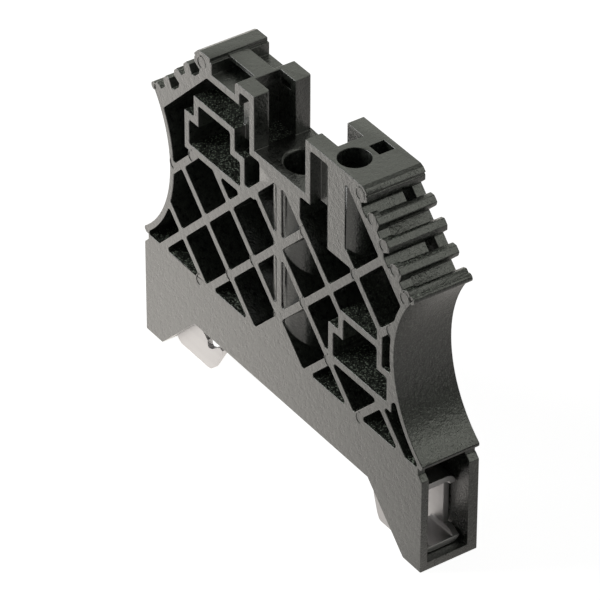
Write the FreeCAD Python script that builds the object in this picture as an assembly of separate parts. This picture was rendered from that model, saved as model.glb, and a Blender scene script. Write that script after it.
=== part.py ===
import FreeCAD, Part
import math
import os

# End stop for a 35 mm mounting rail, standing on its two feet.
# X runs along its length, Y through its thickness and Z up.
# The origin is on the ground, midway between the feet and midway through the body.
# The open side with the ribs faces -Y, and a flat wall closes the +Y side.

# Overall sizes of the moulded body
length = 56.0
width = 7.9
height = 46.5
tower_drop = 0.3

# Feet and the rail recess between them
rail_recess = 35.2
foot_height = 7.0
foot_top = 12.85
foot_chamfer = 0.7
notch_depth = 0.8
notch_low = 13.55
notch_high = 14.35
lip_nose = 0.35

# Walls
side_wall = 1.0
back_wall = 1.35
band_top = 14.4
band_floor = 1.0
band_ceiling = 1.0
foot_floor = 1.1
flank_wall = 0.8
top_wall = 1.0

# Concave flanks, each an arc of one circle
flank_radius = 15.1
flank_x = 37.4
flank_z = 26.9

# Sloping marker arms at both ends
arm_corner_x = 25.8
arm_rise = 9.8
arm_thickness = 3.3
crest_chamfer = 0.3

# Valley between the towers, and the middle slot that runs on into both
valley_width = 10.0
valley_centre = 0.15
valley_depth = 7.3
slot_width = 3.4
slot_end = 8.25
slot_wall = 0.9
cheek_skin = 1.5
tower_corner = 0.45

# Left tower: slot through the thickness with a step at both edges, and a bridge over it
bar_step = 0.35
bar_ledge_drop = 0.5
through_left = -13.3
through_right = -8.7
through_depth = 1.75
bridge_inset = 2.5
bridge_width = 2.65
bridge_thickness = 0.6

# Right tower: pillar with a round socket and a square socket behind it
pillar_left = 9.5
pillar_width = 3.3
socket_radius = 1.95
socket_skin = 0.5
socket_wall = 1.0
socket_depth = 10.5
socket_base = 1.8
square_side = 2.0
square_skin = 0.8
square_depth = 6.0

# Diagonal rib lattice
cell = 4.95
lattice_z = 18.7
rib = 1.0
pocket_radius = 0.35

# Stepped pockets
tee_wall = 0.95
tee_wide = 10.35
tee_low = 3.35
tee_narrow = 6.45
tee_high = 2.95
left_tee_x = -12.95
left_tee_z = 32.4
right_tee_x = 15.85
right_tee_z = 19.85

# Marker bars on the arms: a row of recesses with bars left between them.
# Places are down the slope from the tower's corner, and depths are square to it.
recess_pitch = 3.0
recess_first = 2.4
lowered_start = 0.95
lowered_end = 13.25
bar_drop = 0.33
neck_depth = 0.82
deep_mouth = 2.4
deep_neck = 1.45
deep_belly = 2.15
belly_depth = 1.95
deep_floor = 1.2
deep_recess = 2.3
deep_far = 1.9
shallow_mouth = 1.9
shallow_neck = 1.35
shallow_floor = 0.95
shallow_recess = 1.33
shallow_far = 2.7
shallow_lip = 1.6
window_depth = 3.5
window_width = 1.0

# Screw, M3 with a slotted head
channel_radius = 2.5
channel_wall = 1.25
channel_chamfer = 0.25
seat_z = 20.0
shank_radius = 1.45
shank_length = 11.5
shank_clearance = 0.2
head_radius = 2.3
head_height = 2.0
slot_blade = 0.8
slot_depth = 1.0
screw_gap = 0.05

# Threaded plate that the screw pulls up
plate_length = 9.0
plate_thickness = 1.1
plate_gap = 0.1
plate_side_gap = 0.15
thread_gap = 0.05

# Steel claws, folded from strip
sheet = 0.75
claw_side_gap = 0.15
claw_bend = 1.2
claw_low = 0.8
claw_seat_gap = 0.05
claw_end = 25.7
claw_heel = 23.2
heel_radius = 1.35
claw_arm_gap = 0.2
claw_mouth = 12.9
tip_x = 13.45
tip_z = 5.15
web_start = 22.2
web_gap = 0.12
flange_end = 24.5
tongue_end = 26.8
tongue_lip = 0.45

# Planes that follow from the sizes above
near = -width / 2
far = width / 2
inner_near = near + side_wall
inner_far = far - back_wall
axis_y = (inner_near + inner_far) / 2
half = length / 2
recess_half = rail_recess / 2
tower_height = height - tower_drop
valley_floor = tower_height - valley_depth
through_floor = tower_height - through_depth
pillar_foot = tower_height - socket_depth - socket_base
arm_corner_z = height - arm_rise
foot_inner = recess_half + foot_height
valley_left = valley_centre - valley_width / 2
valley_right = valley_centre + valley_width / 2
slot_near = axis_y + 0.18 - slot_width / 2
slot_far = slot_near + slot_width
arm_sum = arm_corner_x + arm_corner_z
arm_inner_sum = arm_sum - arm_thickness * math.sqrt(2)
tower_right = arm_sum - tower_height
bar_left = arm_sum - height
hollow_floor = foot_height + band_floor
hollow_ceiling = band_top - band_ceiling
channel_outer = channel_radius + channel_wall
plate_low = hollow_floor + plate_gap
plate_top = plate_low + plate_thickness
claw_top = plate_top + claw_seat_gap + sheet


def face(points):
    """Flat face in the plane of the open side, from (x, z) corners."""
    corners = [FreeCAD.Vector(x, near, z) for x, z in points]
    return Part.Face(Part.makePolygon(corners + corners[:1]))


def prism(points, y0, y1):
    """Solid of an (x, z) outline between two planes across the thickness."""
    shape = face(points)
    shape.translate(FreeCAD.Vector(0, y0 - near, 0))
    return shape.extrude(FreeCAD.Vector(0, y1 - y0, 0))


def box(x0, x1, y0, y1, z0, z1):
    return Part.makeBox(x1 - x0, y1 - y0, z1 - z0, FreeCAD.Vector(x0, y0, z0))


def upright(radius, x, y, z0, z1):
    return Part.makeCylinder(radius, z1 - z0, FreeCAD.Vector(x, y, z0))


def across(radius, x, z):
    """Cylinder through the whole thickness."""
    base = FreeCAD.Vector(x, near - 1, z)
    return Part.makeCylinder(radius, width + 2, base, FreeCAD.Vector(0, 1, 0))


def mirrored(shape):
    return shape.mirror(FreeCAD.Vector(0, 0, 0), FreeCAD.Vector(1, 0, 0))


def outer_block():
    """The body's outline through the whole thickness, with both flanks hollowed."""
    side = [
        (recess_half, foot_height),
        (foot_inner, 0),
        (half, 0),
        (half, foot_top),
        (half - foot_chamfer, notch_low),
        (half - notch_depth, notch_low),
        (half - notch_depth, notch_high),
        (half - lip_nose, notch_high),
        (half, notch_high + lip_nose),
        (half, notch_high + 2 * lip_nose),
        (arm_corner_x, arm_corner_z),
    ]
    crest_fall = crest_chamfer / math.sqrt(2)
    right_tower = [
        (tower_right + crest_fall, tower_height - crest_fall),
        (tower_right - crest_chamfer, tower_height),
        (valley_right, tower_height),
        (valley_right, valley_floor),
    ]
    left_tower = [
        (valley_left, valley_floor),
        (valley_left, tower_height),
        (through_right + bar_step, tower_height),
        (through_right, tower_height - bar_step),
        (through_right, through_floor),
        (through_left, through_floor),
        (through_left, height - bar_ledge_drop),
        (through_left - bar_step, height - bar_ledge_drop),
        (through_left - bar_step, height),
        (crest_chamfer - bar_left, height),
        (-bar_left - crest_fall, height - crest_fall),
    ]
    left = [(-x, z) for x, z in reversed(side)]
    block = prism(side + right_tower + left_tower + left, near, far)
    flanks = [across(flank_radius, sign * flank_x, flank_z) for sign in (-1, 1)]
    return block.cut(flanks)


def cavity_face():
    """The room inside the outer walls, as seen on the open side."""
    arm_low = 32.2
    inner_top = tower_height - top_wall
    roof = through_floor - top_wall
    outline = [
        (-half + side_wall, band_top),
        (arm_low - arm_inner_sum, arm_low),
        (roof - arm_inner_sum, roof),
        (through_right + slot_wall, roof),
        (through_right + slot_wall, inner_top),
        (valley_left - rib, inner_top),
        (valley_left - rib, valley_floor - top_wall),
        (valley_right + rib, valley_floor - top_wall),
        (valley_right + rib, inner_top),
        (arm_inner_sum - inner_top, inner_top),
        (arm_inner_sum - arm_low, arm_low),
        (half - side_wall, band_top),
    ]
    room = face(outline)
    discs = [across(flank_radius + flank_wall, sign * flank_x, flank_z) for sign in (-1, 1)]
    return room.cut(discs)


def node(i, j):
    """Crossing of the lattice: i half cells across and j half cells up."""
    return i * cell, lattice_z + j * cell


def strut(start, end, thickness=rib):
    """Rib on the open side, as a face between two (x, z) points."""
    (x0, z0), (x1, z1) = start, end
    run = math.hypot(x1 - x0, z1 - z0)
    dx = (x1 - x0) / run * thickness / 2
    dz = (z1 - z0) / run * thickness / 2
    return face([
        (x0 - dz, z0 + dx),
        (x1 - dz, z1 + dx),
        (x1 + dz, z1 - dx),
        (x0 + dz, z0 - dx),
    ])


def tee(x, z, grow):
    """Outline of a stepped pocket, grown on every side by its wall."""
    wide = tee_wide / 2 + grow
    narrow = tee_narrow / 2 + grow
    step = z + tee_low + grow
    top = z + tee_low + tee_high + grow
    return face([
        (x - wide, z - grow),
        (x + wide, z - grow),
        (x + wide, step),
        (x + narrow, step),
        (x + narrow, top),
        (x - narrow, top),
        (x - narrow, step),
        (x - wide, step),
    ])


def lattice_faces():
    """Ribs that rise to the right, then ribs that fall to the right."""
    rising = [
        ((-5.4, -1.4), (-0.2, 3.8)),
        ((-3.4, -1.4), (1, 3)),
        ((0, 0), (4.2, 4.2)),
        ((0.6, -1.4), (2, 0)),
        ((2.6, -1.4), (4.8, 0.8)),
        ((-4.8, 1.2), (-3.4, 2.6)),
        ((4, 2), (4.8, 2.8)),
    ]
    falling = [
        ((-4.8, 0.8), (-2.6, -1.4)),
        ((-4, 2), (-0.6, -1.4)),
        ((-2.6, 2.6), (0, 0)),
        ((-1, 3), (3.4, -1.4)),
        ((0.2, 3.8), (2.45, 1.55)),
        ((2.6, 3.4), (4, 2)),
        ((4, 0), (5.4, -1.4)),
    ]
    return [strut(node(*start), node(*end)) for start, end in rising + falling]


def pad_faces():
    """Solid corners round the screw channel, at its top and at its foot."""
    low_z = valley_floor
    left_edge = valley_left + rib
    right_edge = valley_right - rib
    top = node(0, 4)
    apex = node(0, 0)
    spread = apex[1] - band_top + rib
    return [
        face([(left_edge, low_z), (left_edge, top[1] + left_edge), top, (0, low_z)]),
        face([(right_edge, low_z), (0, low_z), top, (right_edge, top[1] - right_edge)]),
        face([(-spread, band_top - 0.5), (0, apex[1] + rib / 2), (spread, band_top - 0.5)]),
    ]


def kept_face():
    """Everything that stands up to the open side inside the cavity."""
    tees = [(left_tee_x, left_tee_z), (right_tee_x, right_tee_z)]
    walls = [tee(x, z, tee_wall) for x, z in tees]
    rooms = [tee(x, z, 0) for x, z in tees]
    corner = node(-1, 3)
    post = right_tee_x + tee_narrow / 2 + rib / 2
    extra = [
        strut((corner[0] - 2 * rib, left_tee_z + rib / 4), (corner[0], left_tee_z + rib / 4)),
        strut((post, right_tee_z + tee_low), (post, node(4, 2)[1])),
        strut(node(0, -1), node(0, 4)),
        strut(
            (pillar_left + pillar_width / 2, pillar_foot),
            (pillar_left + pillar_width / 2, tower_height),
            pillar_width,
        ),
        strut(
            (pillar_left, pillar_foot + slot_wall / 2),
            (node(3, 3)[0] - rib / 2, pillar_foot + slot_wall / 2),
            slot_wall,
        ),
    ]
    parts = walls + lattice_faces() + pad_faces() + extra
    kept = parts[0].fuse(parts[1:])
    return kept.cut(rooms)


def redrawn(pocket):
    """The same pocket with its outline drawn afresh, one way round, from lines and arcs."""
    edges = []
    for edge in pocket.OuterWire.OrderedEdges:
        start = edge.Vertexes[0].Point
        end = edge.Vertexes[-1].Point
        middle = edge.valueAt((edge.FirstParameter + edge.LastParameter) / 2)
        round_edge = isinstance(edge.Curve, Part.Circle)
        drawn = Part.Arc(start, middle, end) if round_edge else Part.LineSegment(start, end)
        edges.append(drawn.toShape())
    wire = Part.Wire(Part.__sortEdges__(edges))
    if Part.Face(wire).normalAt(0, 0).y < 0:
        wire.reverse()
    return Part.Face(wire)


def rounded(pocket):
    """The same pocket with round inner corners."""
    shrunk = redrawn(pocket).makeOffset2D(-pocket_radius, join=0)
    return shrunk.makeOffset2D(pocket_radius, join=0)


def pocket_cutters():
    """Every pocket of the open side, down to the back wall."""
    depth = FreeCAD.Vector(0, inner_far - near, 0)
    openings = cavity_face().cut(kept_face()).removeSplitter()
    wide_enough = [f for f in openings.Faces if 2 * f.Area > 2 * pocket_radius * f.Length]
    cutters = []
    for pocket in wide_enough:
        cutters += [part.extrude(depth) for part in rounded(pocket).Faces]
    return cutters


def slot_boxes():
    """Walls round the ends of the middle slot, hidden behind the pockets."""
    low = valley_floor - top_wall
    back = slot_far + slot_wall
    front = near + cheek_skin
    left = box(-slot_end - slot_wall, valley_left, front, back, low, through_floor)
    right = box(valley_right, slot_end + slot_wall, front, back, low, tower_height)
    return [left, right]


def sockets():
    """Tube of the round socket, and the block behind it for the square one."""
    x = pillar_left + pillar_width / 2
    y = near + socket_skin + socket_radius
    outer = socket_radius + socket_wall
    top = tower_height
    tube = upright(outer, x, y, pillar_foot, top)
    front = box(x - outer, x + outer, near - 1, near, pillar_foot, top)
    block = box(x - socket_radius, x + socket_radius, y, far, top - square_depth - top_wall, top)
    added = [tube.cut(front), block]
    hole = upright(socket_radius, x, y, top - socket_depth, top + 1)
    side = square_side / 2
    deep = box(
        x - side, x + side,
        far - square_skin - square_side, far - square_skin,
        top - square_depth, top + 1,
    )
    return added, [hole, deep]


def slope_prism(points, y0, y1):
    """Solid of an outline on the right arm, from (down the slope, into the arm) points."""
    lean = 1 / math.sqrt(2)
    outline = []
    for down, deep in points:
        outline.append((tower_right + (down - deep) * lean, tower_height - (down + deep) * lean))
    return prism(outline, y0, y1)


def recess(station, profile, y0, y1):
    """Cutter of one marker recess, from (depth, width) pairs that start at its mouth."""
    rows = [(-1, profile[0][1])] + profile
    up_side = [(station - across_slope / 2, deep) for deep, across_slope in rows]
    down_side = [(station + across_slope / 2, deep) for deep, across_slope in reversed(rows)]
    return slope_prism(up_side + down_side, y0, y1)


def marker_cutters():
    """Recesses between the marker bars: deep and shallow ones in turn."""
    deep_top = [(bar_drop, deep_mouth), (neck_depth, deep_neck)]
    shallow_top = [(bar_drop, shallow_mouth), (neck_depth, shallow_neck)]
    window_near = inner_far - window_width
    lip_end = near + shallow_lip
    deep_steps = [
        (deep_top + [(belly_depth, deep_belly), (deep_recess, deep_floor)], near - 1, window_near),
        (deep_top + [(window_depth, deep_neck)], window_near, inner_far),
        (deep_top + [(deep_far, deep_neck)], inner_far, far + 1),
    ]
    shallow_steps = [
        (shallow_top + [(shallow_recess, shallow_floor)], near - 1, lip_end),
        (shallow_top + [(shallow_far, shallow_neck)], lip_end, far + 1),
    ]
    lowered = [
        (lowered_start, -1),
        (lowered_start, bar_drop),
        (lowered_end, bar_drop),
        (lowered_end, -1),
    ]
    cutters = [slope_prism(lowered, near - 1, far + 1)]
    for index in range(4):
        station = recess_first + index * recess_pitch
        steps = shallow_steps if index % 2 else deep_steps
        cutters += [recess(station, profile, y0, y1) for profile, y0, y1 in steps]
    return cutters + [mirrored(cutter) for cutter in cutters]


def corner_cutters():
    """Corners to take off the left tower beside the valley, over its whole height."""
    cutters = []
    for y in (slot_near, far):
        centre_x = valley_left - tower_corner
        centre_y = y - tower_corner
        corner = box(centre_x, valley_left + 1, centre_y, y + 1, valley_floor, height)
        outside = box(centre_x, valley_left + 1, y, y + 1, valley_floor, height)
        post = upright(tower_corner, centre_x, centre_y, valley_floor, height)
        cutters.append(corner.cut([post, outside]))
    return cutters


def hollow_cutters():
    """Hollow for the clamp: through the band, down both feet and out at the ends."""
    band = box(-half - 1, half + 1, inner_near, inner_far, hollow_floor, hollow_ceiling)
    foot = prism([
        (claw_mouth, foot_height - 1),
        (claw_mouth, hollow_ceiling),
        (half + 1, hollow_ceiling),
        (half + 1, foot_floor),
        (foot_inner - 2 * foot_floor, foot_floor),
    ], inner_near, inner_far)
    gap = box(half - 2 * side_wall, half + 1, inner_near, inner_far, hollow_ceiling, notch_high)
    return [band, foot, mirrored(foot), gap, mirrored(gap)]


def make_body():
    body = outer_block().cut(pocket_cutters())
    socket_solids, socket_holes = sockets()
    channel = upright(channel_outer, 0, axis_y, hollow_ceiling, valley_floor)
    bridge = box(
        through_left - bar_step, -slot_end + 0.4,
        near + bridge_inset, near + bridge_inset + bridge_width,
        tower_height - bridge_thickness, tower_height,
    )
    body = body.fuse(slot_boxes() + socket_solids + [channel, bridge])
    middle_slot = [
        box(-slot_end, slot_end, slot_near, slot_far, valley_floor, through_floor),
        box(-slot_end + 0.4, slot_end, slot_near, slot_far, through_floor, height + 1),
    ]
    mouth = Part.makeCone(
        channel_radius, channel_radius + 2 * channel_chamfer, 2 * channel_chamfer,
        FreeCAD.Vector(0, axis_y, valley_floor - channel_chamfer),
    )
    bores = [
        mouth,
        upright(channel_radius, 0, axis_y, seat_z, valley_floor + 1),
        upright(shank_radius + shank_clearance, 0, axis_y, hollow_floor, seat_z + 1),
    ]
    cutters = middle_slot + bores + socket_holes + marker_cutters() + hollow_cutters()
    return body.cut(cutters + corner_cutters()).removeSplitter()


def make_screw():
    base = seat_z + screw_gap
    shank = upright(shank_radius, 0, axis_y, base - shank_length, base)
    head = upright(head_radius, 0, axis_y, base, base + head_height)
    top_edge = [edge for edge in head.Edges if edge.BoundBox.ZMin > base + head_height / 2]
    head = head.makeChamfer(0.3, top_edge[:1])
    blade = box(
        -head_radius - 1, head_radius + 1,
        axis_y - slot_blade / 2, axis_y + slot_blade / 2,
        base + head_height - slot_depth, base + head_height + 1,
    )
    return shank.fuse(head).cut(blade).removeSplitter()


def make_plate():
    plate = box(
        -plate_length / 2, plate_length / 2,
        inner_near + plate_side_gap, inner_far - plate_side_gap,
        plate_low, plate_top,
    )
    bore = upright(shank_radius + thread_gap, 0, axis_y, 0, plate_top + 1)
    return plate.cut(bore)


def strip_section(x0, x1, low, closed):
    """Folded strip along X with round bends: a flat tube, or a channel open below."""
    y0 = inner_near + claw_side_gap
    y1 = inner_far - claw_side_gap
    inner_low = low + sheet if closed else low - 1
    outer = box(x0, x1, y0, y1, low, claw_top)
    inner = box(x0, x1, y0 + sheet, y1 - sheet, inner_low, claw_top - sheet)

    def bends(shape):
        along = [e for e in shape.Edges if e.BoundBox.XLength > x1 - x0 - 0.01]
        return [e for e in along if closed or e.BoundBox.ZMin > (low + claw_top) / 2]

    outer = outer.makeFillet(claw_bend, bends(outer))
    inner = inner.makeFillet(claw_bend - sheet, bends(inner))
    return outer.cut(inner)


def heel_cutter():
    """Corner outside the claw's round heel, through the whole thickness."""
    centre_x = claw_heel - heel_radius
    centre_z = claw_low + heel_radius
    corner = box(centre_x, claw_heel + 1, near, far, claw_low - 1, centre_z)
    return corner.cut(across(heel_radius, centre_x, centre_z))


def make_tail():
    """Closed end of the claw over the foot's floor, with the top and the tongue left longer."""
    web_low = foot_floor + web_gap
    web_top = web_low + sheet
    outline = [
        (web_start, web_low),
        (tongue_end, web_low),
        (tongue_end, web_top),
        (flange_end + sheet, web_top + tongue_lip),
        (flange_end, web_top + tongue_lip),
        (flange_end, claw_top - claw_bend - sheet / 2),
        (claw_end, claw_top - claw_bend),
        (claw_end, claw_top),
        (web_start, claw_top),
    ]
    section = strip_section(web_start, tongue_end + 1, web_low, True)
    return section.common(prism(outline, inner_near, inner_far))


def make_claw():
    """Right claw: its hook is on the far side, and the other side is cut back."""
    y0 = inner_near + claw_side_gap
    y1 = inner_far - claw_side_gap
    back = [
        (claw_heel, claw_low),
        (claw_heel, claw_top),
    ]
    hook = [
        (tip_x + 4.8, claw_top),
        (tip_x + 4.65, tip_z + 0.6),
        (tip_x + 3.8, tip_z + 0.25),
        (tip_x + 3.1, tip_z - 0.35),
        (tip_x + 3.0, tip_z - 1.15),
        (tip_x + 2.75, tip_z - 1.3),
        (tip_x + 2.15, tip_z - 1.1),
        (tip_x + 1.1, tip_z - 0.3),
        (tip_x + 0.45, tip_z + 0.1),
        (tip_x, tip_z - 0.1),
        (tip_x, tip_z - 0.65),
        (tip_x + 1.9, claw_low + 0.65),
        (tip_x + 2.4, claw_low + 0.15),
        (tip_x + 3.0, claw_low),
    ]
    short = [
        (tip_x + 3.2, claw_top),
        (tip_x + 3.8, claw_low + 3.2),
        (tip_x + 4.5, claw_low + 0.9),
        (tip_x + 4.9, claw_low + 0.15),
        (tip_x + 5.3, claw_low),
    ]
    channel = strip_section(tip_x - 1, claw_heel, claw_low, False).cut(heel_cutter())
    hooked = channel.common(prism(hook + back, axis_y, inner_far))
    cut_back = channel.common(prism(short + back, inner_near, axis_y))
    arm = box(
        claw_arm_gap, tip_x + 6, y0 + claw_bend, y1 - claw_bend, claw_top - sheet, claw_top
    )
    wide_arm = box(
        claw_arm_gap, tip_x + 5, y0 + sheet, y1 - sheet, claw_top - sheet, claw_top
    )
    fork = upright(shank_radius + shank_clearance, 0, axis_y, 0, claw_top + 1)
    return hooked.fuse([cut_back, make_tail(), arm, wide_arm]).cut(fork).removeSplitter()


def turned(shape):
    """Half a turn about the screw's axis, for the claw on the other side."""
    copy = shape.copy()
    copy.rotate(FreeCAD.Vector(0, axis_y, 0), FreeCAD.Vector(0, 0, 1), 180)
    return copy


def main():
    claw = make_claw()
    pieces = {
        "body": make_body(),
        "clamp_screw": make_screw(),
        "threaded_plate": make_plate(),
        "right_claw": claw,
        "left_claw": turned(claw),
    }
    os.makedirs("parts", exist_ok=True)
    for name, shape in pieces.items():
        shape.exportStep("parts/" + name + ".step")
        print(name, len(shape.Solids), "solids, valid", shape.isValid(), round(shape.Volume, 1))


main()
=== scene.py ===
"""Looks of a rail end stop: a black moulded housing with steel claws, on a pale floor."""

import math

import bmesh
import bpy
from mathutils import Euler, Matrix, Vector


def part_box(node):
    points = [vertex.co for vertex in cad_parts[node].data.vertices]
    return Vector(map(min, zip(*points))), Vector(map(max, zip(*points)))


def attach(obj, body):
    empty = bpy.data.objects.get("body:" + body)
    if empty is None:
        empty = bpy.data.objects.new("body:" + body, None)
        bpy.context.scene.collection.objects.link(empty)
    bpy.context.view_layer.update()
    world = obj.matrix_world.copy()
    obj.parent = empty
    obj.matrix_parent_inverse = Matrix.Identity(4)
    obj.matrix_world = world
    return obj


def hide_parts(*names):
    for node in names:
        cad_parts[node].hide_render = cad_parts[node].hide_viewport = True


bl_info = {
    "name": "Rail end stop",
    "version": (1, 0, 0),
    "blender": (4, 5, 0),
    "location": "View3D > Sidebar > End stop",
    "description": "Dresses the packed end stop and sets its stage",
    "category": "Object",
}

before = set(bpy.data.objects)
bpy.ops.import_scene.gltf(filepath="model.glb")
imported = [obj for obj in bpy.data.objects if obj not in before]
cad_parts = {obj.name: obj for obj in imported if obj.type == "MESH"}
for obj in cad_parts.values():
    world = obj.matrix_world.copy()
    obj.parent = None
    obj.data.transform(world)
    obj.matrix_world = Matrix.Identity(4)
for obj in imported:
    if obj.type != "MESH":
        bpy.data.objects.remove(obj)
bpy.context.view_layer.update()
MM = 0.001

# The open side of the housing
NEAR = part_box("body")[0][1]


def linear(text):
    """Linear colour of an sRGB hex value such as #4b4c48."""
    values = [int(text[i : i + 2], 16) / 255 for i in (1, 3, 5)]
    return [v / 12.92 if v <= 0.04045 else ((v + 0.055) / 1.055) ** 2.4 for v in values]


# Shapes

# Edges sharper than this are rounded, in so many steps
SHARP = math.radians(30.0)
EDGE_STEPS = 2

# Corners of a CAD node this near each other are one, and faces this near in angle are flat
JOINED = 0.0001 * MM
FLAT_WITHIN = math.radians(0.5)

# Round marks that the ejector pins left on the open side, as (x, z) in mm
PIN_MARKS = (
    (-9.9, 18.7), (-4.95, 23.65), (4.95, 23.65), (9.9, 18.7), (4.95, 33.55), (14.85, 33.55),
    (21.7, 30.0), (16.1, 14.4), (-17.5, 31.0), (-21.4, 27.8), (-16.2, 14.2),
)

# A pin's rim shows as a crescent, because it sat a little askew
CRESCENT_START = math.radians(105)
CRESCENT_SWEEP = math.radians(155)
CRESCENT_STEPS = 20
BEAD_SIDES = 8

# Round pads at the near ends of the marker bars, as (x, z) in mm
BAR_PADS = (
    (-15.3, 45.1), (15.7, 45.0), (18.0, 42.9), (20.2, 40.7), (22.3, 38.6), (24.2, 36.0),
)
PAD_DEPTH = 0.8 * MM
PAD_PROUD = 0.03 * MM
PAD_SIDES = 32

# Middle of the bead along each arm's tip, as (x, z) in mm
TIPS = ((-25.4, 36.4), (25.4, 36.4))

# Turns a shape that lies flat, or stands up, to face along Y
ALONG_Y = Euler((math.radians(90), 0, 0))

# Masks of the moulding

# A normal's Z above which a face counts as facing up
FACING_UP = 0.9

# The ledges inside the housing: the middle of their heights, and how far they reach from it
LEDGE_HEIGHT = 27 * MM
LEDGE_REACH = 16 * MM

# Half of the width in which the valley and the channel under it lie
VALLEY_REACH = 5.2 * MM

# How much darker the valley's colour is painted: painted shade, where the towers shadow it
VALLEY_PAINTED_SHADE = 0.85

# A normal's X times the place's X above which a face is one of the waisted ends
WAIST_OUT = 9 * MM

# Materials

PLASTIC = "Moulded polyamide, black"

# Roughness where each is smoothest and where it is roughest
PLASTIC_ROUGH = (0.25, 0.36)
STEEL_ROUGH = (0.36, 0.54)

# Where most of a noise's values lie
NOISE_LOW, NOISE_HIGH = 0.3, 0.7

# Only the noise's peaks get pale specks, which are painted glints: where one starts and is
# full
GLINT_START, GLINT_FULL = 0.57, 0.63

# Least share of the ledges' painted glints that every face has, as a part of the ends'
# share
GLINTS_EVERYWHERE = 0.2

# How much paler the mottling gets at most, and its share of the relief
PALEST_PATCH = 4.0
MOTTLING_RELIEF = 2.0

# How much deeper the grain is on the ledges
LEDGE_GRAIN = 2.75

# Real rolling lines are about 0.02 mm apart: drawn coarser, so that they show
ROLLING_LENGTH = 50 * MM / 3
ROLLING_GAP = MM / 1.5

# Stage

# Painted light that only gloss shows: the paper glows as a pool of light at the left-front,
# fading to painted shadow at the right-back: toward, from and to in m, share at both,
# easing
PAPER_PAINTED_LIGHT = (
    ((-0.55, 0.83, 0.0), (-28 * MM, 7 * MM), (0.3, 1.0), "LINEAR"),
    ((0.6, 0.8, 0.0), (6 * MM, 27 * MM), (1.0, 0.3), "SMOOTHSTEP"),
)

# Pale walls that gloss shows: toward, cosines where each starts and is full, dim and bright
SOFT_WALLS = (
    ((-0.75, 0.25, 0.6), (0.5, 0.9), (0.12, 0.56)),
    ((0.6, 0.44, 0.67), (0.93, 0.995), (0.0, 1.0)),
)

# Half of the floor's width, and the lamp's width and place, in m
PAPER_REACH = 2.0
LAMP_WIDTH = 0.3
LAMP_PLACE = (-0.34, -0.36, 0.24)
LAMP_AIM = Vector((0, 0, 0.02))

# The camera's place in m and turn in degrees, fitted to the body's square edges
CAMERA_PLACE = (0.38041, -0.26479, 0.36058)
CAMERA_TURN = (53.6505, -0.0837, 55.3247)
CAMERA_NEAREST = 0.01

WHITE = (1.0, 1.0, 1.0, 1.0)


# Node and mesh helpers


def add(tree, kind, settings=(), links=()):
    """One node with its settings, and its inputs set or linked."""
    node = tree.nodes.new(kind)
    for name, value in dict(settings).items():
        setattr(node, name, value)
    for name, value in dict(links).items():
        socket = node.inputs[name]
        if isinstance(value, bpy.types.NodeSocket):
            tree.links.new(value, socket)
        else:
            socket.default_value = value
    return node


def new_material(name):
    """An empty material, and its node tree."""
    material = bpy.data.materials.new(name)
    material.use_nodes = True
    material.node_tree.nodes.clear()
    return material, material.node_tree


def merged_copy(node, name):
    """A copy of a CAD node with its loose triangles joined into flat faces."""
    mesh = bpy.data.meshes.new(name)
    bm = bmesh.new()
    bm.from_mesh(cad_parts[node].data)
    bmesh.ops.remove_doubles(bm, verts=bm.verts, dist=JOINED)
    bmesh.ops.dissolve_limit(
        bm, angle_limit=FLAT_WITHIN, verts=bm.verts, edges=bm.edges, delimit={"NORMAL"}
    )
    bm.to_mesh(mesh)
    bm.free()
    mesh.materials.clear()
    obj = bpy.data.objects.new(name, mesh)
    bpy.context.scene.collection.objects.link(obj)
    return obj


def bake(obj):
    """Turns what the modifiers make into the object's own mesh."""
    graph = bpy.context.evaluated_depsgraph_get()
    mesh = bpy.data.meshes.new_from_object(obj.evaluated_get(graph), depsgraph=graph)
    mesh.name = obj.name
    obj.modifiers.clear()
    obj.data = mesh


def round_edges(obj, width):
    """Breaks the sharp edges as moulding or tumbling does."""
    corners = [v.co.copy() for v in obj.data.vertices]
    low = [min(c[i] for c in corners) for i in range(3)]
    high = [max(c[i] for c in corners) for i in range(3)]
    obj.data.shade_smooth()
    obj.data.set_sharp_from_angle(angle=SHARP)
    bevel = obj.modifiers.new("round", "BEVEL")
    bevel.width = width
    bevel.segments = EDGE_STEPS
    bevel.limit_method = "ANGLE"
    bevel.angle_limit = SHARP
    bevel.use_clamp_overlap = False
    bevel.harden_normals = True
    bake(obj)
    # A bevel's sharpest corners may overshoot, so they are brought back to the piece's box
    for v in obj.data.vertices:
        v.co = [min(max(v.co[i], low[i]), high[i]) for i in range(3)]


def dress(node, name, body, material, width):
    """Puts a finished piece in place of a CAD node."""
    obj = merged_copy(node, name)
    round_edges(obj, width)
    obj.data.materials.append(material)
    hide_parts(node)
    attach(obj, body)
    return obj


def fade(tree, where, toward, span, shares, easing="SMOOTHSTEP"):
    """A value that goes from one share to another along a direction."""
    along = add(
        tree, "ShaderNodeVectorMath", {"operation": "DOT_PRODUCT"}, {0: where, 1: toward}
    )
    ramp = add(
        tree, "ShaderNodeMapRange", {"interpolation_type": easing},
        {"Value": along.outputs["Value"], "From Min": span[0], "From Max": span[1],
         "To Min": shares[0], "To Max": shares[1]},
    )
    return ramp.outputs[0]


# Materials


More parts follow.
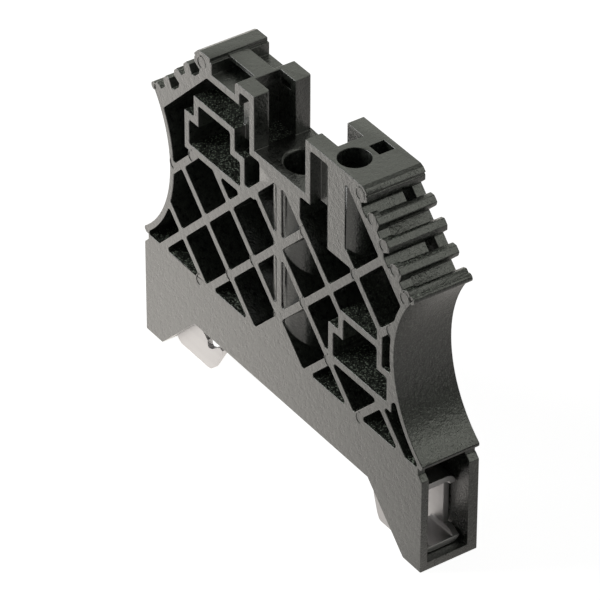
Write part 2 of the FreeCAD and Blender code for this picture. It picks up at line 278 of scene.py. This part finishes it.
def moulding_masks(tree):
    """Object coordinates, and masks of the valley (for its painted shade), the ledges (for
    deeper grain and painted glints) and the waists.
    """
    texture = add(tree, "ShaderNodeTexCoord")
    place = texture.outputs["Object"]
    facing = add(tree, "ShaderNodeSeparateXYZ", links={0: texture.outputs["Normal"]})
    spot = add(tree, "ShaderNodeSeparateXYZ", links={0: place})
    upward = add(
        tree, "ShaderNodeMath", {"operation": "GREATER_THAN"},
        {0: facing.outputs["Z"], 1: FACING_UP},
    )
    inside = add(
        tree, "ShaderNodeMath", {"operation": "COMPARE"},
        {0: spot.outputs["Z"], 1: LEDGE_HEIGHT, 2: LEDGE_REACH},
    )
    middle = add(
        tree, "ShaderNodeMath", {"operation": "COMPARE"},
        {0: spot.outputs["X"], 1: 0.0, 2: VALLEY_REACH},
    )
    ledge = add(
        tree, "ShaderNodeMath", {"operation": "MULTIPLY"},
        {0: upward.outputs[0], 1: inside.outputs[0]},
    )
    # The valley's up-facing floor, whose colour gets painted shade
    valley = add(
        tree, "ShaderNodeMath", {"operation": "MULTIPLY"},
        {0: ledge.outputs[0], 1: middle.outputs[0]},
    )
    # The ledges outside the valley: deeper grain, and painted glints on its peaks
    pitted_glinting_ledges = add(
        tree, "ShaderNodeMath", {"operation": "SUBTRACT", "use_clamp": True},
        {0: ledge.outputs[0], 1: middle.outputs[0]},
    )
    outward = add(
        tree, "ShaderNodeMath", {"operation": "MULTIPLY"},
        {0: facing.outputs["X"], 1: spot.outputs["X"]},
    )
    waist = add(
        tree, "ShaderNodeMath", {"operation": "GREATER_THAN"},
        {0: outward.outputs[0], 1: WAIST_OUT},
    )
    return place, valley.outputs[0], pitted_glinting_ledges.outputs[0], waist.outputs[0]


def moulded_polyamide(look):
    """Glass-filled polyamide from a spark-eroded mould.

    Nearly black in itself: its greys are the soft sheen of pale surroundings on a grain.
    The valley's colour is darker: painted shade, where the towers shadow it. The ledges
    inside the pockets kept the coarsest grain; the pale specks painted on its peaks are
    painted glints, full on the ledges, a share on the waisted ends and a little everywhere.
    """
    material, tree = new_material(PLASTIC)
    place, valley, pitted_glinting_ledges, waist = moulding_masks(tree)
    # A spark-eroded grain is about 0.05 mm wide: drawn coarser, so that it shows
    grain = add(
        tree, "ShaderNodeTexNoise",
        links={"Vector": place, "Scale": 1 / look.grain, "Detail": 1.0, "Roughness": 0.5},
    )
    # The fibres' mottling, at about its real size
    cloud = add(
        tree, "ShaderNodeTexNoise",
        links={"Vector": place, "Scale": 1 / look.cloud, "Detail": 3.0, "Roughness": 0.6},
    )
    patch = add(
        tree, "ShaderNodeMapRange",
        links={"Value": cloud.outputs["Fac"], "From Min": NOISE_LOW, "From Max": NOISE_HIGH,
               "To Min": 0.0, "To Max": PALEST_PATCH},
    )
    # Painted shade: the valley's colour is darkened, where the towers shadow it
    valley_shade = add(
        tree, "ShaderNodeMath", {"operation": "MULTIPLY_ADD"},
        {0: valley, 1: -VALLEY_PAINTED_SHADE, 2: 1.0},
    )
    mottle_and_painted_shade = add(
        tree, "ShaderNodeMath", {"operation": "MULTIPLY"},
        {0: patch.outputs["Result"], 1: valley_shade.outputs[0]},
    )
    # Painted glints: pale specks on the grain's peaks, full on the ledges, a share on the
    # waisted ends and a little everywhere
    glinting = add(
        tree, "ShaderNodeMath", {"operation": "MULTIPLY_ADD"},
        {0: waist, 1: look.end_glints, 2: pitted_glinting_ledges},
    )
    glint_share = add(
        tree, "ShaderNodeMath", {"operation": "MAXIMUM"},
        {0: glinting.outputs[0], 1: look.end_glints * GLINTS_EVERYWHERE},
    )
    glints = add(
        tree, "ShaderNodeMapRange",
        links={"Value": grain.outputs["Fac"], "From Min": GLINT_START,
               "From Max": GLINT_FULL, "To Min": 0.0, "To Max": look.glints},
    )
    # The colour's factor: the mottling, with painted shade in the valley and painted glints
    # on the grain's peaks
    tone_and_painted_light = add(
        tree, "ShaderNodeMath", {"operation": "MULTIPLY_ADD"},
        {0: glints.outputs["Result"], 1: glint_share.outputs[0], 2: mottle_and_painted_shade.outputs[0]},
    )
    colour = add(
        tree, "ShaderNodeVectorMath", {"operation": "SCALE"},
        {0: list(look.colour), "Scale": tone_and_painted_light.outputs[0]},
    )
    rough = add(
        tree, "ShaderNodeMapRange",
        links={"Value": cloud.outputs["Fac"], "From Min": NOISE_LOW, "From Max": NOISE_HIGH,
               "To Min": PLASTIC_ROUGH[0], "To Max": PLASTIC_ROUGH[1]},
    )
    depth = add(
        tree, "ShaderNodeMapRange",
        links={"Value": pitted_glinting_ledges, "To Min": look.grain_depth,
               "To Max": look.grain_depth * LEDGE_GRAIN},
    )
    relief = add(
        tree, "ShaderNodeMath", {"operation": "MULTIPLY_ADD"},
        {0: cloud.outputs["Fac"], 1: MOTTLING_RELIEF, 2: grain.outputs["Fac"]},
    )
    bump = add(
        tree, "ShaderNodeBump",
        links={"Height": relief.outputs[0], "Strength": 1.0,
               "Distance": depth.outputs["Result"]},
    )
    # The resin's skin over the fibres is smoother than they are: a coat
    shader = add(
        tree, "ShaderNodeBsdfPrincipled",
        links={
            "Base Color": colour.outputs["Vector"],
            "Roughness": rough.outputs["Result"],
            "IOR": 1.53,
            "Specular IOR Level": 1.0,
            "Coat Weight": 1.0,
            "Coat Roughness": 0.3,
            "Coat IOR": 1.6,
            "Normal": bump.outputs["Normal"],
            "Coat Normal": bump.outputs["Normal"],
        },
    )
    add(tree, "ShaderNodeOutputMaterial", links={"Surface": shader.outputs[0]})
    return material


def plated_steel(look):
    """Rolled strip steel with bright zinc: pale and soft, with fine lines along X."""
    material, tree = new_material("Bright zinc on strip steel")
    place = add(tree, "ShaderNodeTexCoord").outputs["Object"]
    along, across = 1 / ROLLING_LENGTH, 1 / ROLLING_GAP
    stretch = add(
        tree, "ShaderNodeMapping", links={"Vector": place, "Scale": (along, across, across)}
    )
    lines = add(
        tree, "ShaderNodeTexNoise",
        links={"Vector": stretch.outputs["Vector"], "Scale": 1.0, "Detail": 2.0},
    )
    rough = add(
        tree, "ShaderNodeMapRange",
        links={"Value": lines.outputs["Fac"],
               "To Min": STEEL_ROUGH[0], "To Max": STEEL_ROUGH[1]},
    )
    shader = add(
        tree, "ShaderNodeBsdfPrincipled",
        links={
            "Base Color": [*look.colour, 1.0],
            "Metallic": 1.0,
            "Roughness": rough.outputs["Result"],
        },
    )
    add(tree, "ShaderNodeOutputMaterial", links={"Surface": shader.outputs[0]})
    return material


def white_in_view(tree, path, tint):
    """A tint for gloss that is plain white where the camera looks straight at it."""
    # A mix of colours has them on sockets 6 and 7, and its result on socket 2
    mix = add(
        tree, "ShaderNodeMix", {"data_type": "RGBA"},
        {"Factor": path.outputs["Is Camera Ray"], 6: [*tint, 1.0], 7: WHITE},
    )
    return mix.outputs[2]


def studio_floor(look):
    """Seamless pale paper: white to the camera, with the object's own soft shadow, and a
    painted glow that gloss shows.
    """
    material, tree = new_material("Seamless paper, white")
    path = add(tree, "ShaderNodeLightPath")
    mirrored = add(
        tree, "ShaderNodeMath", {"operation": "MAXIMUM"},
        {0: path.outputs["Is Glossy Ray"], 1: path.outputs["Is Transmission Ray"]},
    )
    in_view = add(
        tree, "ShaderNodeMath", {"operation": "MULTIPLY"},
        {0: path.outputs["Is Camera Ray"], 1: look.glow_seen},
    )
    place = add(tree, "ShaderNodeTexCoord").outputs["Object"]
    # Painted light: in gloss the paper glows brightest at the left-front, fading to painted
    # shadow at the right-back
    lit = look.glow_mirrored
    for toward, span, shares, easing in PAPER_PAINTED_LIGHT:
        share = fade(tree, place, toward, span, shares, easing)
        lit = add(tree, "ShaderNodeMath", {"operation": "MULTIPLY"}, {0: lit, 1: share})
        lit = lit.outputs[0]
    strength = add(
        tree, "ShaderNodeMath", {"operation": "MULTIPLY_ADD"},
        {0: mirrored.outputs[0], 1: lit, 2: in_view.outputs[0]},
    )
    paper = add(tree, "ShaderNodeBsdfDiffuse", links={"Color": [*look.floor_colour, 1.0]})
    tint = white_in_view(tree, path, look.paper_tint)
    glow = add(
        tree, "ShaderNodeEmission", links={"Color": tint, "Strength": strength.outputs[0]}
    )
    shader = add(
        tree, "ShaderNodeAddShader", links={0: paper.outputs[0], 1: glow.outputs[0]}
    )
    add(tree, "ShaderNodeOutputMaterial", links={"Surface": shader.outputs[0]})
    return material


def studio_room(look):
    """A dim even room, white to the camera, whose pale walls only gloss shows."""
    world = bpy.data.worlds.new("Studio")
    world.use_nodes = True
    tree = world.node_tree
    tree.nodes.clear()
    path = add(tree, "ShaderNodeLightPath")
    straight = add(
        tree, "ShaderNodeMath", {"operation": "MAXIMUM"},
        {0: path.outputs["Is Camera Ray"], 1: path.outputs["Is Glossy Ray"]},
    )
    room = add(tree, "ShaderNodeBackground", links={"Color": WHITE, "Strength": look.room})
    way = add(tree, "ShaderNodeTexCoord").outputs["Generated"]
    one, other = [fade(tree, way, *wall) for wall in SOFT_WALLS]
    both = add(tree, "ShaderNodeMath", {"operation": "ADD"}, {0: one, 1: other})
    seen = add(
        tree, "ShaderNodeMath", {"operation": "MAXIMUM"},
        {0: path.outputs["Is Camera Ray"], 1: both.outputs[0]},
    )
    tint = white_in_view(tree, path, look.wall_tint)
    walls = add(
        tree, "ShaderNodeBackground", links={"Color": tint, "Strength": seen.outputs[0]}
    )
    mix = add(
        tree, "ShaderNodeMixShader",
        links={0: straight.outputs[0], 1: room.outputs[0], 2: walls.outputs[0]},
    )
    add(tree, "ShaderNodeOutputWorld", links={"Surface": mix.outputs[0]})
    return world


# Sizes and colours that a user would change


class HousingLook(bpy.types.PropertyGroup):
    """The moulded housing, its marks and its pads."""

    colour: bpy.props.FloatVectorProperty(
        name="Plastic", description="Colour of the moulded housing", subtype="COLOR",
        size=3, min=0, max=1, default=linear("#20231f"),
    )
    edge: bpy.props.FloatProperty(
        name="Edge radius", description="Rounding of the moulded edges",
        unit="LENGTH", default=0.09 * MM, precision=5,
    )
    grain: bpy.props.FloatProperty(
        name="Grain", description="Size of the mould's grain", unit="LENGTH",
        default=0.22 * MM, precision=5,
    )
    grain_depth: bpy.props.FloatProperty(
        name="Grain depth", description="How deep the mould's grain is", unit="LENGTH",
        default=0.032 * MM, precision=5,
    )
    cloud: bpy.props.FloatProperty(
        name="Mottling", description="Size of the paler and darker patches", unit="LENGTH",
        default=0.6 * MM, precision=5,
    )
    # Painted glints: how much paler the grain's peaks on the ledges are painted
    glints: bpy.props.FloatProperty(
        name="Specks", description="How much paler the scuffed specks on the ledges are",
        default=34.0,
    )
    # Share of the ledges' painted glints that the waisted ends get
    end_glints: bpy.props.FloatProperty(
        name="Wear", description="Share of those specks that the waisted ends have",
        subtype="FACTOR", default=0.25,
    )
    mark_radius: bpy.props.FloatProperty(
        name="Pin mark radius", description="Radius of an ejector pin's mark",
        unit="LENGTH", default=0.78 * MM, precision=5,
    )
    mark_bead: bpy.props.FloatProperty(
        name="Pin mark rim", description="Thickness of the rim round a pin's mark",
        unit="LENGTH", default=0.07 * MM, precision=5,
    )
    tip_radius: bpy.props.FloatProperty(
        name="Tip bead radius", description="Radius of the bead along each arm's tip",
        unit="LENGTH", default=0.5 * MM, precision=5,
    )


class SteelLook(bpy.types.PropertyGroup):
    """The claws, the threaded plate and the screw."""

    colour: bpy.props.FloatVectorProperty(
        name="Steel", description="Colour of the plated steel", subtype="COLOR",
        size=3, min=0, max=1, default=linear("#cfcecf"),
    )
    edge: bpy.props.FloatProperty(
        name="Edge radius", description="Rounding of the punched edges",
        unit="LENGTH", default=0.05 * MM, precision=5,
    )


class StageLook(bpy.types.PropertyGroup):
    """The floor, the light and the camera."""

    floor_colour: bpy.props.FloatVectorProperty(
        name="Paper", description="Colour of the floor", subtype="COLOR",
        size=3, min=0, max=1, default=linear("#e6e6e4"),
    )
    # Tint of the paper's painted glow, as gloss shows it
    paper_tint: bpy.props.FloatVectorProperty(
        name="Paper's tint", description="Tint of the lit paper where gloss shows it",
        subtype="COLOR", size=3, min=0, max=1, default=linear("#fff9f2"),
    )
    wall_tint: bpy.props.FloatVectorProperty(
        name="Walls' tint", description="Tint of the pale walls where gloss shows them",
        subtype="COLOR", size=3, min=0, max=1, default=linear("#fcfff3"),
    )
    glow_seen: bpy.props.FloatProperty(
        name="Paper in view", default=0.93,
        description="Brightness added where the camera sees the paper",
    )
    # Painted light: how bright the paper glows where gloss shows it
    glow_mirrored: bpy.props.FloatProperty(
        name="Paper in gloss", default=1.0,
        description="Brightness added where gloss shows the lit paper",
    )
    key: bpy.props.FloatProperty(
        name="Key light", description="Power of the key light", unit="POWER", default=1.0,
    )
    room: bpy.props.FloatProperty(
        name="Room light", description="Strength of the pale room all round", default=0.08,
    )
    lens: bpy.props.FloatProperty(
        name="Lens", description="Focal length in millimetres", unit="CAMERA",
        default=302.64,
    )


# Shapes that repeat


def sized_tree(name, *sizes):
    """A tree that takes points and named sizes: it, its inputs, and their identifiers."""
    tree = bpy.data.node_groups.new(name, "GeometryNodeTree")
    face = tree.interface
    face.new_socket("Geometry", in_out="INPUT", socket_type="NodeSocketGeometry")
    face.new_socket("Geometry", in_out="OUTPUT", socket_type="NodeSocketGeometry")
    sockets = {}
    for size in sizes:
        socket = face.new_socket(size, in_out="INPUT", socket_type="NodeSocketFloat")
        sockets[size.lower()] = socket.identifier
    return tree, add(tree, "NodeGroupInput").outputs, sockets


def set_on_points(tree, points, shape):
    """Puts a shape on every point, facing along Y, as one mesh of the housing's plastic."""
    spread = add(
        tree, "GeometryNodeInstanceOnPoints",
        links={"Points": points, "Instance": shape, "Rotation": ALONG_Y},
    )
    real = add(tree, "GeometryNodeRealizeInstances", links={0: spread.outputs[0]})
    paint = add(
        tree, "GeometryNodeSetMaterial",
        links={"Geometry": real.outputs[0], "Material": bpy.data.materials[PLASTIC]},
    )
    add(tree, "NodeGroupOutput", links={0: paint.outputs[0]})


def ring_tree():
    """Crescents of one size on points, standing half out of the open side."""
    tree, given, sockets = sized_tree("Pin marks", "Radius", "Bead")
    ring = add(
        tree, "GeometryNodeCurveArc",
        links={"Resolution": CRESCENT_STEPS, "Radius": given["Radius"],
               "Start Angle": CRESCENT_START, "Sweep Angle": CRESCENT_SWEEP},
    )
    profile = add(
        tree, "GeometryNodeCurvePrimitiveCircle",
        links={"Resolution": BEAD_SIDES, "Radius": given["Bead"]},
    )
    tube = add(
        tree, "GeometryNodeCurveToMesh",
        links={0: ring.outputs[0], "Profile Curve": profile.outputs[0], "Fill Caps": True},
    )
    set_on_points(tree, given["Geometry"], tube.outputs["Mesh"])
    return tree, sockets


def pad_tree():
    """Round bars along Y on points, each with a flat near end."""
    tree, given, sockets = sized_tree("Round pads", "Radius", "Length")
    pin = add(
        tree, "GeometryNodeMeshCylinder", {"fill_type": "NGON"},
        {"Vertices": PAD_SIDES, "Radius": given["Radius"], "Depth": given["Length"]},
    )
    set_on_points(tree, given["Geometry"], pin.outputs["Mesh"])
    return tree, sockets


def spread_on(name, places, y, made, **sizes):
    """Places a tree's shape at (x, z) points in mm and at depth y, as one mesh."""
    tree, sockets = made
    mesh = bpy.data.meshes.new(name)
    mesh.from_pydata([(x * MM, y, z * MM) for x, z in places], [], [])
    obj = bpy.data.objects.new(name, mesh)
    bpy.context.scene.collection.objects.link(obj)
    modifier = obj.modifiers.new(name, "NODES")
    modifier.node_group = tree
    for size, value in sizes.items():
        modifier[sockets[size]] = value
    bake(obj)
    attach(obj, "housing")
    return obj


# Operators, one for each piece or group


class ENDSTOP_OT_housing(bpy.types.Operator):
    """Dress the moulded housing."""

    bl_idname = "endstop.housing"
    bl_label = "Moulded housing"

    def execute(self, context):
        look = context.scene.endstop_housing
        material = moulded_polyamide(look)
        dress("body", "housing_moulding", "housing", material, look.edge)
        return {"FINISHED"}


class ENDSTOP_OT_pin_marks(bpy.types.Operator):
    """Add the crescents of the ejector pins, the bars' end pads and the tips' beads."""

    bl_idname = "endstop.pin_marks"
    bl_label = "Pin marks and pads"

    def execute(self, context):
        look = context.scene.endstop_housing
        rings = ring_tree()
        pads = pad_tree()
        radius = look.mark_radius
        bead = look.mark_bead
        front = NEAR - PAD_PROUD
        middle = front + PAD_DEPTH / 2
        spread_on("pin_marks", PIN_MARKS, NEAR, rings, radius=radius, bead=bead)
        spread_on("bar_pads", BAR_PADS, middle, pads, radius=radius, length=PAD_DEPTH)
        spread_on("bar_pad_marks", BAR_PADS, front, rings, radius=radius, bead=bead)
        spread_on("tip_beads", TIPS, 0.0, pads, radius=look.tip_radius, length=-2 * NEAR)
        return {"FINISHED"}


class ENDSTOP_OT_clamp(bpy.types.Operator):
    """Dress the claws, the threaded plate and the screw."""

    bl_idname = "endstop.clamp"
    bl_label = "Steel clamp"

    def execute(self, context):
        look = context.scene.endstop_steel
        zinc = plated_steel(look)
        for node in ("left_claw", "right_claw", "threaded_plate"):
            dress(node, node + "_steel", "clamp", zinc, look.edge)
        dress("clamp_screw", "clamp_screw_steel", "screw", zinc, look.edge)
        return {"FINISHED"}


class ENDSTOP_OT_stage(bpy.types.Operator):
    """Lay the floor, light the room, hang the lamp and set the camera."""

    bl_idname = "endstop.stage"
    bl_label = "Stage"

    def execute(self, context):
        look = context.scene.endstop_stage
        scene = context.scene
        mesh = bpy.data.meshes.new("floor")
        round_it = ((-1, -1), (1, -1), (1, 1), (-1, 1))
        corners = [(x * PAPER_REACH, y * PAPER_REACH, 0) for x, y in round_it]
        mesh.from_pydata(corners, [], [(0, 1, 2, 3)])
        floor = bpy.data.objects.new("floor", mesh)
        mesh.materials.append(studio_floor(look))
        scene.collection.objects.link(floor)
        light = bpy.data.lights.new("key", "AREA")
        light.energy = look.key
        light.size = LAMP_WIDTH
        lamp = bpy.data.objects.new("key", light)
        lamp.location = LAMP_PLACE
        lamp.rotation_euler = (LAMP_AIM - lamp.location).to_track_quat("-Z", "Y").to_euler()
        scene.collection.objects.link(lamp)
        scene.world = studio_room(look)
        camera = bpy.data.cameras.new("camera")
        camera.lens = look.lens
        camera.clip_start = CAMERA_NEAREST
        eye = bpy.data.objects.new("camera", camera)
        eye.location = CAMERA_PLACE
        eye.rotation_euler = [math.radians(a) for a in CAMERA_TURN]
        scene.collection.objects.link(eye)
        scene.camera = eye
        scene.view_settings.view_transform = "Standard"
        return {"FINISHED"}


class ENDSTOP_PT_panel(bpy.types.Panel):
    """The operators, and the sizes and colours that they use."""

    bl_label = "End stop"
    bl_idname = "ENDSTOP_PT_panel"
    bl_space_type = "VIEW_3D"
    bl_region_type = "UI"
    bl_category = "End stop"

    def draw(self, context):
        for operator in OPERATORS:
            self.layout.operator(operator.bl_idname)
        for name in LOOKS:
            group = getattr(context.scene, name)
            for field in group.bl_rna.properties.keys():
                if field not in ("rna_type", "name"):
                    self.layout.prop(group, field)


OPERATORS = (
    ENDSTOP_OT_housing,
    ENDSTOP_OT_pin_marks,
    ENDSTOP_OT_clamp,
    ENDSTOP_OT_stage,
)
LOOKS = {
    "endstop_housing": HousingLook,
    "endstop_steel": SteelLook,
    "endstop_stage": StageLook,
}
CLASSES = (*LOOKS.values(), *OPERATORS, ENDSTOP_PT_panel)


def register():
    """Makes the classes known, and gives the scene its looks."""
    for cls in CLASSES:
        bpy.utils.register_class(cls)
    for name, cls in LOOKS.items():
        setattr(bpy.types.Scene, name, bpy.props.PointerProperty(type=cls))


def unregister():
    """Takes back what register did."""
    for name in LOOKS:
        delattr(bpy.types.Scene, name)
    for cls in reversed(CLASSES):
        bpy.utils.unregister_class(cls)


def main():
    """Makes the whole part and its stage."""
    register()
    bpy.ops.endstop.housing()
    bpy.ops.endstop.pin_marks()
    bpy.ops.endstop.clamp()
    bpy.ops.endstop.stage()
    bpy.context.view_layer.update()


if __name__ == "__main__":
    main()
